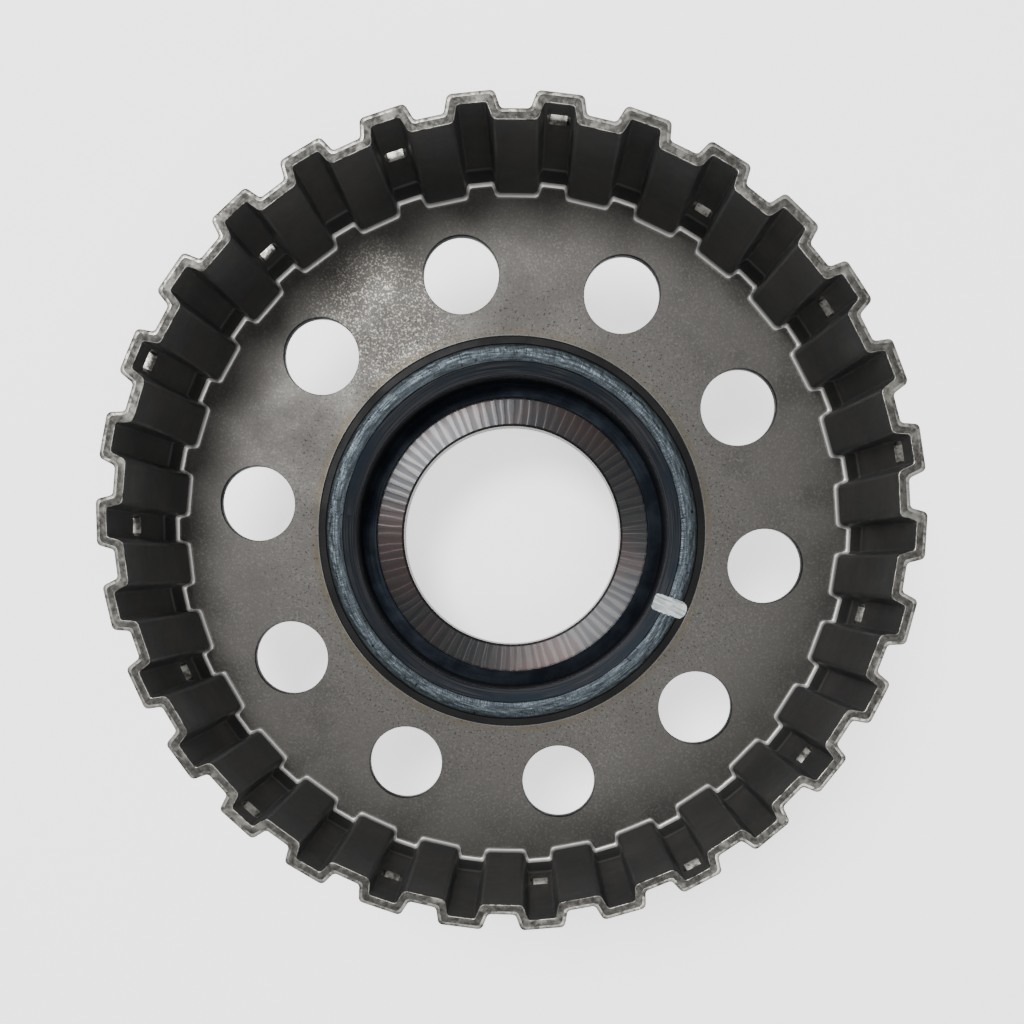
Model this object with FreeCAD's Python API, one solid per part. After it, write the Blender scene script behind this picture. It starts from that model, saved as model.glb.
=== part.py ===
"""Planetary gear set with a splined clutch drum, millimetres.

A stamped drum with a toothed wall stands open side up. A turned hub ring is welded into the middle of
its web, and the sun gear is seated in that hub and held by a retaining ring. Behind the web six pinions
run round the sun gear on needle rollers, in a two-plate carrier, inside a ring gear that is keyed to
a flange with a bushed hub. The main axis is Z, and the origin is the centre of the face it stands on.
"""
import FreeCAD, Part
import math
import os

# ---- driving dimensions -------------------------------------------------------------------------
WEB_Z = 47.0            # inner face of the drum's web, above the face that the set stands on
SHEET = 2.2             # thickness of the drum's sheet steel
DRUM_DEPTH = 37.3       # web's inner face to the rim
DRUM_TEETH = 30
DRUM_TIP_R = 80.0       # flat of a tooth, outside
DRUM_ROOT_R = 76.8      # flat of a valley, outside
TOOTH_TIP_HALF = 4.4    # half the width of a tooth's flat, outside
FLANK_ANGLE = 15.0      # lean of a tooth's flank from the radius, degrees

WEB_HOLES = 10
WEB_HOLE_R = 8.45
WEB_HOLE_CIRCLE_R = 58.6

OIL_WINDOW_WIDTH = 4.4  # pierced through every second tooth, as wide as the channel behind it
OIL_WINDOW_HEIGHT = 4.3
OIL_WINDOW_CORNER = 0.8
OIL_STATIONS = (13.0, 22.1, 30.7)   # above the web, repeated round the drum

GROOVE_R = 44.3         # shallow machined band beside the weld
GROOVE_DEPTH = 0.5
WELD_JOINT_R = 41.0     # where the hub ring meets the web
WELD_IN_R = 38.8        # the bead's inner and outer edges
WELD_OUT_R = 42.8
WELD_CROWN = 0.35       # above the machined band
WELD_ROOT = 1.5         # below it
RECESS_R = 36.1         # hub ring's recess, open to the drum side
BORE_R = 26.35          # sun gear's bore at the drum side
SUN_FACE = -13.9        # sun gear's thrust face, below the web's inner face
THRUST_R = 32.6         # outer radius of that face, a low step above the collar

MODULE = 1.25
PRESSURE_ANGLE = math.radians(20.0)
BACKLASH = 0.20         # play of a meshed pair along the pitch circle
SUN_TEETH = 52
PINION_TEETH = 14
RING_TEETH = SUN_TEETH + 2 * PINION_TEETH
PINIONS = 6             # (SUN_TEETH + RING_TEETH) is a multiple of this, so the set assembles

SUN_R = MODULE * SUN_TEETH / 2
PINION_R = MODULE * PINION_TEETH / 2
RING_R = MODULE * RING_TEETH / 2
CENTRE_R = SUN_R + PINION_R
TOOTH = math.pi * MODULE / 2 - BACKLASH / 2
SPACE = math.pi * MODULE / 2 + BACKLASH / 2
SUN_TIP_R = SUN_R + 0.82 * MODULE       # shortened, so that no tip reaches below a base circle
PINION_TIP_R = PINION_R + 0.95 * MODULE
RING_TIP_R = RING_R - 0.66 * MODULE
DEDENDUM = 1.25 * MODULE
FLANK_SPANS = 3         # straight spans that stand for an involute flank
ROOT_WIDENING = 0.12    # of a tooth, on each side, from its base circle down to its root

PIN_R = 3.55
NEEDLE_R = 0.78
NEEDLES = 16
PINION_BORE_R = 5.25
PINION_WASHER = 0.55    # thickness
CARRIER_R = 47.8
RING_OUTER_R = 54.2

# heights below the web's inner face, as a stack from the drum side to the far side
HUB_END = -18.5
FRONT_PLATE = (-19.8, -22.3)
PINION_SPAN = (-23.05, -34.85)
REAR_PLATE = (-35.55, -38.3)
RING_SPAN = (-21.5, -44.2)
FLANGE_SPAN = (-39.5, -42.0)
CARRIER_HUB_END = -46.0
BASE = -WEB_Z
GEAR_MID = (PINION_SPAN[0] + PINION_SPAN[1]) / 2
COLLAR_FACE = SUN_FACE - 0.3
COLLAR_END = SUN_FACE - 3.6     # rear of the sun gear's collar, on the hub ring's shoulder
CLIP = 1.5              # thickness of the sun gear's retaining ring
CLIP_GROOVE_R = 37.2
END_PLAY = 0.05         # between a thrust washer and the face that it runs on
SLIP = 0.05             # between two parts that are pushed together by hand

OVERRUN = 1.0           # how far a cutter runs past the face where it leaves
CORNER = 0.5            # usual broken corner of a turned part

FLANGE_SEAT_R = 51.9    # in the ring gear's rear end, where the flange sits
RING_CLIP_R = 53.0      # groove of the ring gear's retaining ring
RING_CLIP = 1.45        # width of that groove
RING_CLIP_PLAY = 0.02
KEYS = 8                # lugs of the flange, in notches of the ring gear
KEY_R = 53.2
KEY_HALF = 4.0
CARRIER_HUB_R = 35.6
SPLINES = 36            # in the carrier's output hub
SPLINE_INNER_R = 31.0
SPLINE_OUTER_R = 32.4
FLANGE_BORE_R = 36.6    # the bushing is pressed in here


# ---- helpers ------------------------------------------------------------------------------------
def vec(x, y, z=0.0):
    return FreeCAD.Vector(x, y, z)


def at(below_web):
    """Height in the part's frame of a station given from the web's inner face."""
    return WEB_Z + below_web


def cylinder(radius, low, high, x=0.0, y=0.0):
    return Part.makeCylinder(radius, high - low, vec(x, y, at(low)))


def tube(inner, outer, low, high, x=0.0, y=0.0):
    return cylinder(outer, low, high, x, y).cut(cylinder(inner, low - OVERRUN, high + OVERRUN, x, y))


def lathe(section):
    """Solid of revolution from a closed outline of (radius, station) corners."""
    points = [vec(r, 0, at(z)) for r, z in section]
    face = Part.Face(Part.makePolygon(points + points[:1]))
    return face.revolve(vec(0, 0), vec(0, 0, 1), 360)


def polar(radius, angle, station=0.0):
    return vec(radius * math.cos(angle), radius * math.sin(angle), at(station))


def turned(shape, degrees):
    copy = shape.copy()
    copy.rotate(vec(0, 0), vec(0, 0, 1), degrees)
    return copy


def save(name, shape):
    solids = shape.Solids
    good = all(s.isValid() and s.Volume > 0 for s in solids)
    volume = sum(s.Volume for s in solids)
    print(f"{name}: {len(solids)} solid(s), {volume:.1f} mm3, {'valid' if good else 'NOT VALID'}", flush=True)
    kept = solids[0] if len(solids) == 1 else Part.makeCompound(solids)
    kept.exportStep(f"parts/{name}.step")


# ---- drum shell ---------------------------------------------------------------------------------
def line_crossing(n1, d1, n2, d2):
    """Crossing of the lines n.p = d, for unit normals n1 and n2 given as angles."""
    a, b, c, d = math.cos(n1), math.sin(n1), math.cos(n2), math.sin(n2)
    det = a * d - b * c
    return (d1 * d - d2 * b) / det, (a * d2 - c * d1) / det


def drum_corners(inset, tip_inset=0.0):
    """Corners of one half tooth, tip corner then root corner, moved in by inset from the outer skin."""
    pitch = 2 * math.pi / DRUM_TEETH
    flank_normal = math.pi / 2 - math.radians(FLANK_ANGLE)
    flank_d = DRUM_TIP_R * math.cos(flank_normal) + TOOTH_TIP_HALF * math.sin(flank_normal)
    tip = line_crossing(0, DRUM_TIP_R - inset - tip_inset, flank_normal, flank_d - inset)
    root = line_crossing(pitch / 2, DRUM_ROOT_R - inset, flank_normal, flank_d - inset)
    return tip, root


def rounded_outline(corners, station):
    """Closed wire through corners given as (x, y, radius), with a tangent arc at each."""
    edges = []
    count = len(corners)
    joints = []
    for i, (x, y, radius) in enumerate(corners):
        p = vec(x, y, at(station))
        before = vec(corners[i - 1][0], corners[i - 1][1], at(station)) - p
        after = vec(corners[(i + 1) % count][0], corners[(i + 1) % count][1], at(station)) - p
        before.normalize()
        after.normalize()
        half = before.getAngle(after) / 2
        reach = radius / math.tan(half)
        middle = before + after
        middle.normalize()
        centre = p + middle * (radius / math.sin(half))
        joints.append((p + before * reach, centre - middle * radius, p + after * reach))
    for i, (start, top, end) in enumerate(joints):
        edges.append(Part.Arc(start, top, end).toShape())
        edges.append(Part.makeLine(end, joints[(i + 1) % count][0]))
    return Part.Wire(edges)


def drum_outline(inset, station, tip_radius, root_radius, tip_inset=0.0):
    """The toothed outline. A valley is centred on the X axis, so the teeth stand half a pitch off it."""
    tip, root = drum_corners(inset, tip_inset)
    corners = []
    for i in range(DRUM_TEETH):
        turn = 2 * math.pi * (i + 0.5) / DRUM_TEETH
        for (x, y), side, radius in ((root, -1, root_radius), (tip, -1, tip_radius),
                                     (tip, 1, tip_radius), (root, 1, root_radius)):
            y *= side
            corners.append((x * math.cos(turn) - y * math.sin(turn),
                            x * math.sin(turn) + y * math.cos(turn), radius))
    return rounded_outline(corners, station)


def loft(wires):
    """Ruled solid through a stack of outlines that have the same corners."""
    return Part.makeLoft(wires, True, True)


def drum_skin():
    """Everything inside the drum's outer skin."""
    radii = (1.1, 0.9)      # of the outline's corners: tooth tip, valley
    edge = 0.35             # broken edge of the rim
    bend = 2.0              # between wall and web, as a pair of chamfers
    knee = 0.3 * bend
    foot = -SHEET + bend
    skin = loft([drum_outline(bend, -SHEET, *radii), drum_outline(knee, -SHEET + knee, *radii),
                 drum_outline(0, foot, *radii)])
    skin = skin.fuse(loft([drum_outline(0, foot, *radii), drum_outline(0, DRUM_DEPTH - edge, *radii)]))
    return skin.fuse(loft([drum_outline(0, DRUM_DEPTH - edge, *radii),
                           drum_outline(edge, DRUM_DEPTH, *radii)]))


def drum_cavity():
    """The open space inside the wall. Its channels narrow near the web, where the forming rolls stop."""
    radii = (0.6, 1.1)
    bend = 1.0
    knee = 0.3 * bend
    taper = 0.7             # narrowing at the web, and what is left of it at two heights
    taper_bend = 0.595
    taper_end = 0.25
    roll_stop = 6.6
    step_top = roll_stop + 0.3
    cavity = loft([drum_outline(SHEET + bend, 0, *radii, taper),
                   drum_outline(SHEET + knee, knee, *radii, taper),
                   drum_outline(SHEET, bend, *radii, taper_bend),
                   drum_outline(SHEET, roll_stop, *radii, taper_end)])
    cavity = cavity.fuse(loft([drum_outline(SHEET, roll_stop, *radii, taper_end),
                               drum_outline(SHEET, step_top, *radii)]))
    return cavity.fuse(loft([drum_outline(SHEET, step_top, *radii),
                             drum_outline(SHEET, DRUM_DEPTH + OVERRUN, *radii)]))


def oil_window(number):
    """Cutter of one window, in the middle of a tooth."""
    reach = 12              # radial length, from inside the wall to outside
    half_turn = 0.5         # the teeth stand half a pitch off the X axis
    angle = -2 * math.pi * (2 * number + half_turn) / DRUM_TEETH
    station = OIL_STATIONS[number % len(OIL_STATIONS)]
    corner = vec(DRUM_TIP_R - reach / 2, -OIL_WINDOW_WIDTH / 2, at(station - OIL_WINDOW_HEIGHT / 2))
    window = Part.makeBox(reach, OIL_WINDOW_WIDTH, OIL_WINDOW_HEIGHT, corner)
    along = [e for e in window.Edges if abs(e.Vertexes[0].X - e.Vertexes[1].X) > 1]
    return turned(window.makeFillet(OIL_WINDOW_CORNER, along), math.degrees(angle))


def drum_shell():
    shell = drum_skin().cut(drum_cavity())
    shell = shell.cut(cylinder(WELD_JOINT_R, -SHEET - OVERRUN, OVERRUN))
    shell = shell.cut(cylinder(GROOVE_R, -GROOVE_DEPTH, OVERRUN))
    cutters = [oil_window(i) for i in range(DRUM_TEETH // 2)]
    for i in range(WEB_HOLES):
        centre = polar(WEB_HOLE_CIRCLE_R, 2 * math.pi * i / WEB_HOLES)
        cutters.append(cylinder(WEB_HOLE_R, -SHEET - OVERRUN, OVERRUN, centre.x, centre.y))
    return shell.cut(Part.makeCompound(cutters)).cut(weld_section())


# ---- hub, weld, sun gear's seat -----------------------------------------------------------------
def weld_section():
    """The fused ring over the joint of hub and web: a low crown above a rounded root."""
    face = -GROOVE_DEPTH
    inner, outer = vec(WELD_IN_R, 0, at(face)), vec(WELD_OUT_R, 0, at(face))
    crown = vec((WELD_IN_R + WELD_OUT_R) / 2, 0, at(face + WELD_CROWN))
    root = vec(WELD_JOINT_R, 0, at(face - WELD_ROOT))
    edges = [Part.Arc(inner, crown, outer).toShape(), Part.Arc(outer, root, inner).toShape()]
    return Part.Face(Part.Wire(edges)).revolve(vec(0, 0), vec(0, 0, 1), 360)


def hub_ring():
    seat_r = 34.2           # shoulder that carries the sun gear's collar
    shoulder_r = 43.4       # behind the web, which rests on it
    shoulder_end = -5.5
    neck_r = 39.8
    neck_top = -8.5
    mouth = -2.0            # top of the recess, at the foot of the slope from the weld
    edge = 0.8
    clip_top = COLLAR_FACE + CLIP + 0.1
    section = [(RECESS_R, mouth), (WELD_IN_R, -GROOVE_DEPTH), (WELD_JOINT_R, -GROOVE_DEPTH),
               (WELD_JOINT_R, -SHEET), (shoulder_r, -SHEET), (shoulder_r, shoulder_end),
               (shoulder_r - edge, shoulder_end - edge), (neck_r, neck_top), (neck_r, HUB_END + edge),
               (neck_r - edge, HUB_END), (seat_r + CORNER, HUB_END), (seat_r, HUB_END + CORNER),
               (seat_r, COLLAR_END), (RECESS_R, COLLAR_END), (RECESS_R, COLLAR_FACE),
               (CLIP_GROOVE_R, COLLAR_FACE), (CLIP_GROOVE_R, clip_top), (RECESS_R, clip_top)]
    return lathe(section).cut(weld_section())


def open_ring(inner, outer, low, high, gap_degrees, middle_degrees):
    """A retaining ring with a gap, its middle at the given angle."""
    section = [(inner, low), (outer, low), (outer, high), (inner, high)]
    points = [vec(r, 0, at(z)) for r, z in section]
    face = Part.Face(Part.makePolygon(points + points[:1]))
    face.rotate(vec(0, 0), vec(0, 0, 1), middle_degrees + gap_degrees / 2)
    return face.revolve(vec(0, 0), vec(0, 0, 1), 360 - gap_degrees)


# ---- gears --------------------------------------------------------------------------------------
def involute(angle):
    return math.tan(angle) - angle


def gear_outline(teeth, tip_r, root_r, thickness, turn, x, y, station):
    """Closed outline of a gear with involute flanks. thickness is a tooth's, on the pitch circle."""
    pitch_r = MODULE * teeth / 2
    base_r = pitch_r * math.cos(PRESSURE_ANGLE)
    half = thickness / 2 / pitch_r
    foot_r = max(base_r, root_r) + 0.01
    flank = []
    for i in range(FLANK_SPANS + 1):
        r = foot_r + (tip_r - foot_r) * (i / FLANK_SPANS)
        flank.append((r, half + involute(PRESSURE_ANGLE) - involute(math.acos(base_r / r))))
    if root_r < base_r:
        flank.insert(0, (root_r, flank[0][1] + ROOT_WIDENING / root_r))
    points = []
    for i in range(teeth):
        middle = turn + 2 * math.pi * i / teeth
        points += [polar(r, middle - a, station) for r, a in flank]
        points += [polar(r, middle + a, station) for r, a in reversed(flank)]
    wire = Part.makePolygon(points + points[:1])
    wire.translate(vec(x, y))
    return wire


def toothed(teeth, tip_r, root_r, thickness, turn, span, x=0.0, y=0.0):
    """Straight-toothed gear solid between the two stations of span."""
    high, low = span
    outline = gear_outline(teeth, tip_r, root_r, thickness, turn, x, y, low)
    return Part.Face(outline).extrude(vec(0, 0, high - low))


def sun_gear():
    """A collar with the thrust face, a neck, and a toothed sleeve with a wider bore."""
    neck_r = 31.5
    sleeve_r = SUN_R - DEDENDUM - 0.2   # under the teeth, and a little inside their roots
    rear_bore_r = 28.9
    bore_end = SUN_FACE - 5.0
    bore_cone = 2.6
    teeth_top, teeth_end = -20.2, -35.0
    edge = 0.4
    body = lathe([(BORE_R, SUN_FACE - CORNER), (BORE_R + CORNER, SUN_FACE), (THRUST_R, SUN_FACE),
                  (THRUST_R, COLLAR_FACE), (RECESS_R - edge, COLLAR_FACE), (RECESS_R, COLLAR_FACE - edge),
                  (RECESS_R, COLLAR_END), (neck_r, COLLAR_END), (neck_r, teeth_top),
                  (sleeve_r, teeth_top - 0.1), (sleeve_r, teeth_end), (rear_bore_r, teeth_end),
                  (rear_bore_r, bore_end - bore_cone), (BORE_R, bore_end)])
    teeth = toothed(SUN_TEETH, SUN_TIP_R, SUN_R - DEDENDUM, TOOTH, 0.0, (teeth_top, teeth_end))
    teeth = teeth.cut(cylinder(sleeve_r - edge, teeth_end - OVERRUN, teeth_top + OVERRUN))
    chamfer_r = SUN_TIP_R + 0.3         # the chamfer on the teeth's front ends starts out here
    chamfer = 1.9
    cone = lathe([(chamfer_r, teeth_top - chamfer / 2), (chamfer_r, teeth_top + OVERRUN),
                  (chamfer_r - chamfer, teeth_top + OVERRUN)])
    return body.fuse(teeth.cut(cone))


def pinion_turn(number):
    """Angle of a pinion's tooth, so that it meshes with the sun gear where it stands."""
    direction = 2 * math.pi * number / PINIONS
    pitch = 2 * math.pi / SUN_TEETH
    offset = round(direction / pitch) * pitch - direction
    gap = direction + math.pi - offset * SUN_TEETH / PINION_TEETH
    return gap + math.pi / PINION_TEETH


def planet_pinion(number):
    centre = polar(CENTRE_R, 2 * math.pi * number / PINIONS)
    x, y = centre.x, centre.y
    gear = toothed(PINION_TEETH, PINION_TIP_R, PINION_R - DEDENDUM, TOOTH, pinion_turn(number),
                   PINION_SPAN, x, y)
    return gear.cut(cylinder(PINION_BORE_R, PINION_SPAN[1] - 1, PINION_SPAN[0] + 1, x, y))


def ring_gear():
    high, low = RING_SPAN
    seat = FLANGE_SPAN[0]
    edge = 1.0
    blank_r = RING_TIP_R - 2            # the blank's bore, which the tooth cutter opens out
    body = lathe([(blank_r, low), (RING_OUTER_R - CORNER, low), (RING_OUTER_R, low + CORNER),
                  (RING_OUTER_R, high - edge), (RING_OUTER_R - edge, high), (blank_r, high)])
    cutter = toothed(RING_TEETH, RING_R + DEDENDUM, RING_TIP_R, SPACE, math.pi / RING_TEETH,
                     (high + OVERRUN, seat - OVERRUN))
    body = body.cut(cutter)
    body = body.cut(cylinder(FLANGE_SEAT_R, low - OVERRUN, seat))
    body = body.cut(flange_keys(low - OVERRUN, seat, KEY_R, KEY_HALF))
    clip_high = FLANGE_SPAN[1] - RING_CLIP_PLAY
    return body.cut(cylinder(RING_CLIP_R, clip_high - RING_CLIP, clip_high))


def flange_keys(low, high, radius, half_width):
    """Eight spokes out to a radius: the ring gear's notches, or the lugs that fill them."""
    spokes = []
    for i in range(KEYS):
        spoke = Part.makeBox(radius, 2 * half_width, high - low, vec(0, -half_width, at(low)))
        spokes.append(turned(spoke, 360 * (i + 0.5) / KEYS))
    return spokes[0].multiFuse(spokes[1:]).common(cylinder(radius, low, high))


# ---- carrier ------------------------------------------------------------------------------------
def pinion_centres():
    return [polar(CENTRE_R, 2 * math.pi * i / PINIONS) for i in range(PINIONS)]


def carrier_front_plate():
    inner_r = 34.9
    high, low = FRONT_PLATE
    edge = 0.6
    plate = lathe([(inner_r, low), (CARRIER_R, low), (CARRIER_R, high - edge), (CARRIER_R - edge, high),
                   (inner_r + edge, high), (inner_r, high - edge)])
    for c in pinion_centres():
        plate = plate.cut(cylinder(PIN_R, low - OVERRUN, high + OVERRUN, c.x, c.y))
    return plate


def carrier_rear_plate():
    """Rear plate, the six pillars that reach the front plate, and the splined output hub."""
    high, low = REAR_PLATE
    edge = 0.6
    body = lathe([(SPLINE_INNER_R, CARRIER_HUB_END), (CARRIER_HUB_R - edge, CARRIER_HUB_END),
                  (CARRIER_HUB_R, CARRIER_HUB_END + edge), (CARRIER_HUB_R, low), (CARRIER_R - edge, low),
                  (CARRIER_R, low + edge), (CARRIER_R, high), (SPLINE_INNER_R, high)])
    pillar = carrier_pillar(high, FRONT_PLATE[1])
    for i in range(PINIONS):
        body = body.fuse(turned(pillar, 360 * (i + 0.5) / PINIONS))
    for c in pinion_centres():
        body = body.cut(cylinder(PIN_R, low - OVERRUN, high + OVERRUN, c.x, c.y))
    slot_half = math.pi * SPLINE_INNER_R / SPLINES / 2
    start, end = CARRIER_HUB_END - OVERRUN, high + OVERRUN
    slots = []
    for i in range(SPLINES):
        slot = Part.makeBox(SPLINE_OUTER_R, 2 * slot_half, end - start, vec(0, -slot_half, at(start)))
        slots.append(turned(slot, 360 * i / SPLINES))
    cutter = slots[0].multiFuse(slots[1:])
    return body.cut(cutter.common(cylinder(SPLINE_OUTER_R, start, end)))


def carrier_pillar(low, high):
    """One pillar about the X axis, slightly narrower inside than at the plates' rims."""
    inner_r = 35.4
    outer_half = math.radians(9.0)
    inner_half = 0.8 * outer_half
    inner = [polar(inner_r, side * inner_half, low) for side in (-1, 1)]
    outer = [polar(CARRIER_R, side * outer_half, low) for side in (-1, 1)]
    edges = [Part.makeLine(inner[0], outer[0]),
             Part.Arc(outer[0], polar(CARRIER_R, 0, low), outer[1]).toShape(),
             Part.makeLine(outer[1], inner[1]), Part.makeLine(inner[1], inner[0])]
    return Part.Face(Part.Wire(edges)).extrude(vec(0, 0, high - low))


def pinion_pin(number):
    c = pinion_centres()[number]
    high, low = FRONT_PLATE[0], REAR_PLATE[1]
    edge = 0.3
    oil_r = 1.1             # drilled from the front end to the middle
    cross_r = 0.8           # and out to the needles there
    pin = cylinder(PIN_R, low + edge, high - edge, c.x, c.y)
    for base, direction in ((high - edge, 1), (low + edge, -1)):
        cone = Part.makeCone(PIN_R, PIN_R - edge, edge, vec(c.x, c.y, at(base)), vec(0, 0, direction))
        pin = pin.fuse(cone)
    pin = pin.cut(cylinder(oil_r, GEAR_MID - oil_r, high + OVERRUN, c.x, c.y))
    outward = vec(c.x, c.y) * (1 / CENTRE_R)
    return pin.cut(Part.makeCylinder(cross_r, PIN_R + OVERRUN, vec(c.x, c.y, at(GEAR_MID)), outward))


def needle_set(number):
    c = pinion_centres()[number]
    track_r = (PIN_R + PINION_BORE_R) / 2
    margin = 0.5
    needles = []
    for i in range(NEEDLES):
        a = 2 * math.pi * i / NEEDLES
        needles.append(cylinder(NEEDLE_R, PINION_SPAN[1] + margin, PINION_SPAN[0] - margin,
                                c.x + track_r * math.cos(a), c.y + track_r * math.sin(a)))
    return Part.makeCompound(needles)


def pinion_washer(number, low):
    """Bronze-faced thrust washer at one end of a pinion."""
    c = pinion_centres()[number]
    outer_r = 6.9
    return tube(PIN_R + SLIP, outer_r, low, low + PINION_WASHER, c.x, c.y)


# ---- ring gear's flange -------------------------------------------------------------------------
def ring_flange():
    high, low = FLANGE_SPAN
    hub_r = 40.4
    rim_r = FLANGE_SEAT_R - SLIP
    edge = 0.3
    body = lathe([(FLANGE_BORE_R, BASE), (hub_r - CORNER, BASE), (hub_r, BASE + CORNER), (hub_r, low),
                  (rim_r - edge, low), (rim_r, low + edge), (rim_r, high), (FLANGE_BORE_R, high)])
    lugs = flange_keys(low, high, KEY_R - SLIP, KEY_HALF - SLIP)
    lug_root_r = rim_r - 1              # the lugs start a little inside the rim
    body = body.fuse(lugs.cut(cylinder(lug_root_r, low - OVERRUN, high + OVERRUN)))
    windows = 12
    window_r, window_circle_r = 2.6, 46.0
    for i in range(windows):
        c = polar(window_circle_r, 2 * math.pi * i / windows)
        body = body.cut(cylinder(window_r, low - OVERRUN, high + OVERRUN, c.x, c.y))
    return body


def ring_flange_bushing():
    running_clearance = 0.06
    return tube(CARRIER_HUB_R + running_clearance, FLANGE_BORE_R, BASE + CORNER, FLANGE_SPAN[0] - CORNER)


# ---- small rings and washers --------------------------------------------------------------------
def sun_retaining_ring():
    """A spiral-wound ring, which has no open gap."""
    inner_r = 32.9
    outer_r = CLIP_GROOVE_R - 0.1
    return tube(inner_r, outer_r, COLLAR_FACE + 0.02, COLLAR_FACE + CLIP)


def ring_retaining_ring():
    inner_r = 50.2
    outer_r = RING_CLIP_R - 0.1
    gap_degrees, gap_at = 8, 90
    high = FLANGE_SPAN[1] - SLIP
    low = FLANGE_SPAN[1] - RING_CLIP + SLIP
    return open_ring(inner_r, outer_r, low, high, gap_degrees, gap_at)


def front_thrust_washer():
    """Between the hub ring's end and the carrier."""
    inner_r, outer_r = 35.3, 39.4
    return tube(inner_r, outer_r, FRONT_PLATE[0] + END_PLAY, HUB_END - 0.1)


def rear_thrust_washer():
    """Between the carrier and the ring gear's flange."""
    inner_r, outer_r = 37.2, 43.4
    return tube(inner_r, outer_r, FLANGE_SPAN[0] + 0.1, REAR_PLATE[1] - END_PLAY)


def main():
    os.makedirs("parts", exist_ok=True)
    save("drum_shell", drum_shell())
    save("hub_ring", hub_ring())
    save("weld_bead", weld_section())
    save("sun_gear", sun_gear())
    save("sun_retaining_ring", sun_retaining_ring())
    save("front_thrust_washer", front_thrust_washer())
    save("carrier_front_plate", carrier_front_plate())
    save("carrier_rear_plate", carrier_rear_plate())
    save("rear_thrust_washer", rear_thrust_washer())
    save("ring_gear", ring_gear())
    save("ring_flange", ring_flange())
    save("ring_flange_bushing", ring_flange_bushing())
    save("ring_retaining_ring", ring_retaining_ring())
    for i in range(PINIONS):
        save(f"planet_pinion_{i + 1}", planet_pinion(i))
        save(f"pinion_pin_{i + 1}", pinion_pin(i))
        save(f"needle_rollers_{i + 1}", needle_set(i))
        save(f"front_pinion_washer_{i + 1}", pinion_washer(i, FRONT_PLATE[1] - END_PLAY - PINION_WASHER))
        save(f"rear_pinion_washer_{i + 1}", pinion_washer(i, REAR_PLATE[0] + END_PLAY))


main()
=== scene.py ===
"""Looks of the planetary gear set: steels, weld, paint mark, floor, light and camera, in metres."""

import math

import bmesh
import bpy
from mathutils import Matrix, Vector, noise


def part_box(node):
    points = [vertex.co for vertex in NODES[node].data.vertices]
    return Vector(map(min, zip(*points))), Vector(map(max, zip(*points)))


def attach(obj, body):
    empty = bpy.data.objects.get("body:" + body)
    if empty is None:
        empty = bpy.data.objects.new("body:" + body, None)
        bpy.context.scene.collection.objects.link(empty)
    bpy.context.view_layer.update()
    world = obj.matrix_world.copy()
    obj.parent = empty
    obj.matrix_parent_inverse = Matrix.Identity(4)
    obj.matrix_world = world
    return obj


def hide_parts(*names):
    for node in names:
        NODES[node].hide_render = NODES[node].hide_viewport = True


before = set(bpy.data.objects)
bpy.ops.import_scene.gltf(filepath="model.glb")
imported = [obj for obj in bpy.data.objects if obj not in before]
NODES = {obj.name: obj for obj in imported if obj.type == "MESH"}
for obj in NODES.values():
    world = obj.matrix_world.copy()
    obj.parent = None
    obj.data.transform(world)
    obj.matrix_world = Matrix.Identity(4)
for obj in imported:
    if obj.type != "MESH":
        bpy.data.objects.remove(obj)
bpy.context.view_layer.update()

MM = 0.001

# ---- the drum's sizes, in millimetres -----------------------------------------------------------
TEETH = 30
PITCH = 2 * math.pi / TEETH
TIP_R = 80.0                    # flat of a tooth, outside
ROOT_R = 76.8                   # flat of a valley, outside
TIP_HALF = 4.4                  # half the width of a tooth's flat
FLANK_NORMAL = math.radians(90 - 15)
OUTER_RADII = (1.1, 0.9)        # rounding of a tooth's tip and root corners, outside
INNER_RADII = (0.6, 1.1)        # and inside
OUTER_BEND = 2.0                # between web and wall
INNER_BEND = 1.0
WALL = 2.2                      # sheet thickness
DEPTH = 37.3                    # web's inner face to the rim
RIM_EDGE = 0.35                 # worn outer corner of the rim
RIM_WEAR = 0.05
CHANNEL_STEP = 6.6              # top of the thicker foot inside a tooth, above the web
WINDOW_HALF_WIDTH = 2.2
WINDOW_HALF_HEIGHT = 2.15
WINDOW_CORNER = 0.6
WINDOW_STATIONS = (13.0, 22.1, 30.7)
WEB_HOLES = 10
WEB_HOLE_R = 8.45
WEB_HOLE_CIRCLE = 58.6
WEB_HOLE_BEVEL = 0.2
GROOVE_R = 44.3
GROOVE_DEPTH = 0.5
JOINT_R = 41.0                  # where the hub ring meets the web, under the bead
BEAD_IN, BEAD_OUT, BEAD_CROWN = 38.8, 42.8, 0.35
RECESS_R = 36.1                 # hub ring's recess, at the foot of the cone inside the bead
CONE_FOOT = -2.0                # height there, from the web's inner face
GLINT_PATCH_PLACE = (-34.5, 44.0)      # middle of the patch of painted glints on the web

WEB_BOTTOM_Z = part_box("drum_shell")[0].z
WEB_Z = WEB_BOTTOM_Z + WALL * MM


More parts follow.
